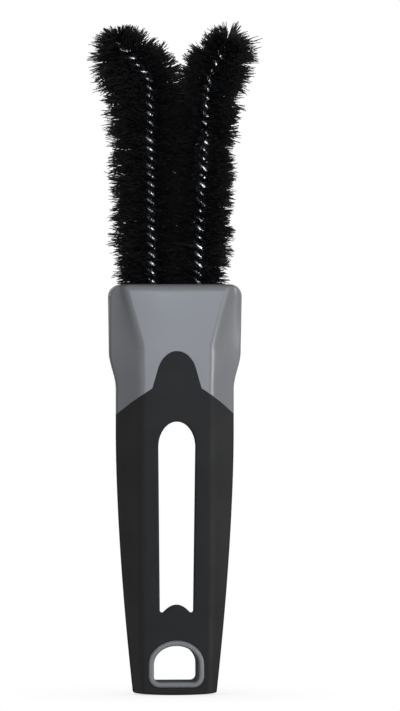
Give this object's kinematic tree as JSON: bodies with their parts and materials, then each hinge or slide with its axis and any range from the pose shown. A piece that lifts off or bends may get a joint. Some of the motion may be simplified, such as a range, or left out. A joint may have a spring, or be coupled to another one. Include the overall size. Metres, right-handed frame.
{
  "type": "wheel rim brush",
  "caption": "Hand brush for wheel rims: paired twisted-wire bristle stems with splayed tips, in a slotted grey and black handle with a hang hole.",
  "frame": {"origin": "middle of the flat butt end of the handle", "axes": "+Z along the handle towards the brush tips, -Y is the front, +X to the right when seen from the front"},
  "size_m": [0.0707, 0.0327, 0.2606],
  "materials": {
    "grey_plastic": "satin moulded polypropylene",
    "black_rubber": "matte soft-touch overmould",
    "holder_plastic": "plain moulded plastic",
    "steel_wire": "bright drawn wire",
    "black_bristle": "black nylon filament"
  },
  "bodies": {
    "root": {"handle_core": "grey_plastic", "grip_overmould": "black_rubber", "stem_holder": "holder_plastic", "left_twisted_wire": "steel_wire", "right_twisted_wire": "steel_wire", "left_shaft_bristles": "black_bristle", "left_tip_bristles": "black_bristle", "right_shaft_bristles": "black_bristle", "right_tip_bristles": "black_bristle"}
  },
  "joints": []
}
